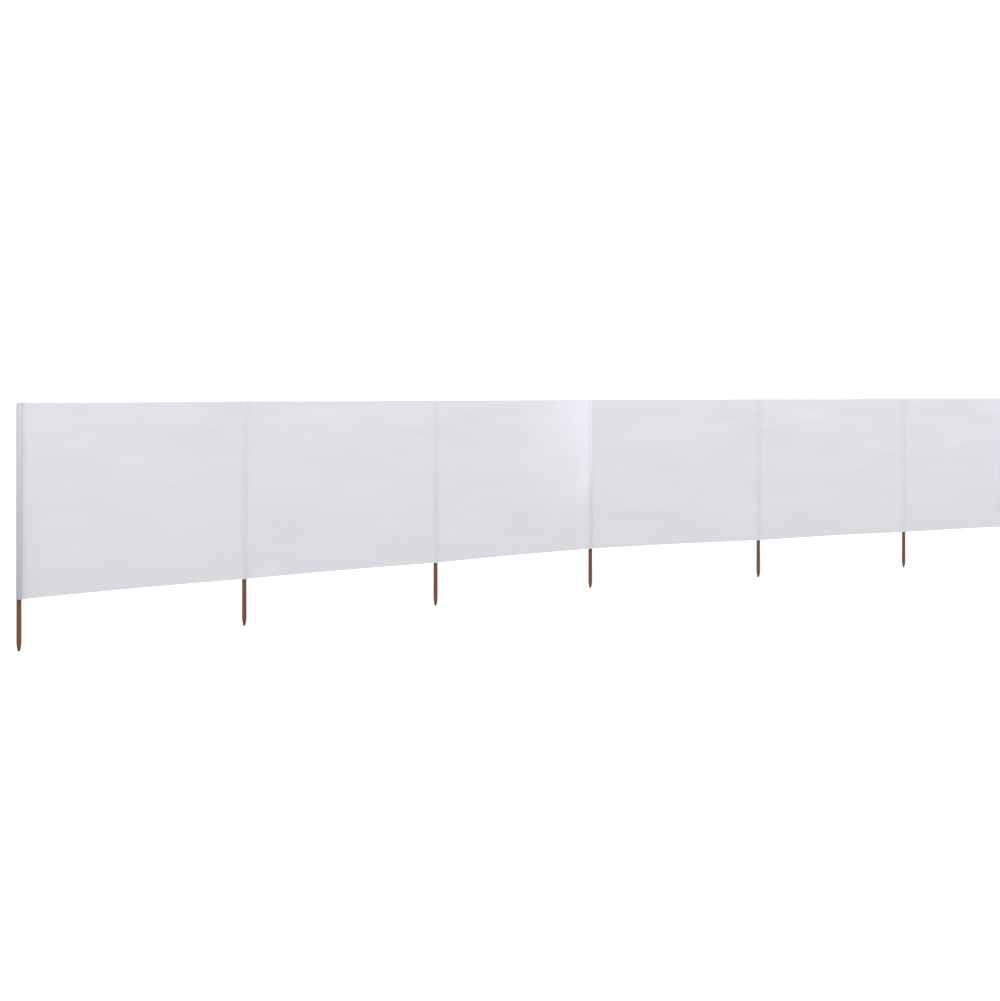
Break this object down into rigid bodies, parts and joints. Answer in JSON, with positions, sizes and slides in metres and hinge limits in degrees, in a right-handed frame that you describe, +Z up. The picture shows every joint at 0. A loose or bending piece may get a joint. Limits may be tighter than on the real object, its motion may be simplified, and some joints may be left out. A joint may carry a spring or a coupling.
{
  "type": "beach windbreak",
  "caption": "Long plain fabric beach windbreak on round wooden poles with rounded points, which folds at its poles.",
  "frame": {"origin": "centre of the blunt tip of the middle pole", "axes": "+X along the row to the viewer's right, +Y towards the back, +Z up along the poles"},
  "size_m": [7.9408, 0.5058, 1.2],
  "materials": {
    "pole_wood": "stained and varnished pine dowel",
    "sleeve_fabric": "woven polyester canvas, double",
    "screen_fabric": "woven polyester canvas",
    "hem_fabric": "woven polyester canvas, folded and stitched"
  },
  "bodies": {
    "bay_4": {"panel_4": "screen_fabric", "top_hem_4": "hem_fabric", "bottom_hem_4": "hem_fabric", "pole_4": "pole_wood", "sleeve_4": "sleeve_fabric", "pole_5": "pole_wood", "sleeve_5": "sleeve_fabric"},
    "bay_3": {"panel_3": "screen_fabric", "top_hem_3": "hem_fabric", "bottom_hem_3": "hem_fabric", "pole_3": "pole_wood", "sleeve_3": "sleeve_fabric"},
    "bay_2": {"panel_2": "screen_fabric", "top_hem_2": "hem_fabric", "bottom_hem_2": "hem_fabric", "pole_2": "pole_wood", "sleeve_2": "sleeve_fabric"},
    "bay_1": {"panel_1": "screen_fabric", "top_hem_1": "hem_fabric", "bottom_hem_1": "hem_fabric", "pole_1": "pole_wood", "sleeve_1": "sleeve_fabric"},
    "bay_5": {"panel_5": "screen_fabric", "top_hem_5": "hem_fabric", "bottom_hem_5": "hem_fabric", "pole_6": "pole_wood", "sleeve_6": "sleeve_fabric"},
    "bay_6": {"panel_6": "screen_fabric", "top_hem_6": "hem_fabric", "bottom_hem_6": "hem_fabric", "pole_7": "pole_wood", "sleeve_7": "sleeve_fabric"}
  },
  "joints": [
    {"name": "fold_at_pole_4", "type": "hinge", "parent": "bay_4", "child": "bay_3", "pos_m": [0, 0, 0], "axis": [0, 0, -1], "range_deg": [-149.6, 180.4]},
    {"name": "fold_at_pole_3", "type": "hinge", "parent": "bay_3", "child": "bay_2", "pos_m": [-1.31685, -0.17805, 0], "axis": [0, 0, 1], "range_deg": [-162.6, 167.4]},
    {"name": "fold_at_pole_2", "type": "hinge", "parent": "bay_2", "child": "bay_1", "pos_m": [-2.64, -0.30079, 0], "axis": [0, 0, -1], "range_deg": [-162.6, 167.4]},
    {"name": "fold_at_pole_5", "type": "hinge", "parent": "bay_4", "child": "bay_5", "pos_m": [1.31685, -0.17805, 0], "axis": [0, 0, -1], "range_deg": [-162.6, 167.4]},
    {"name": "fold_at_pole_6", "type": "hinge", "parent": "bay_5", "child": "bay_6", "pos_m": [2.64, -0.30079, 0], "axis": [0, 0, 1], "range_deg": [-162.6, 167.4]}
  ]
}
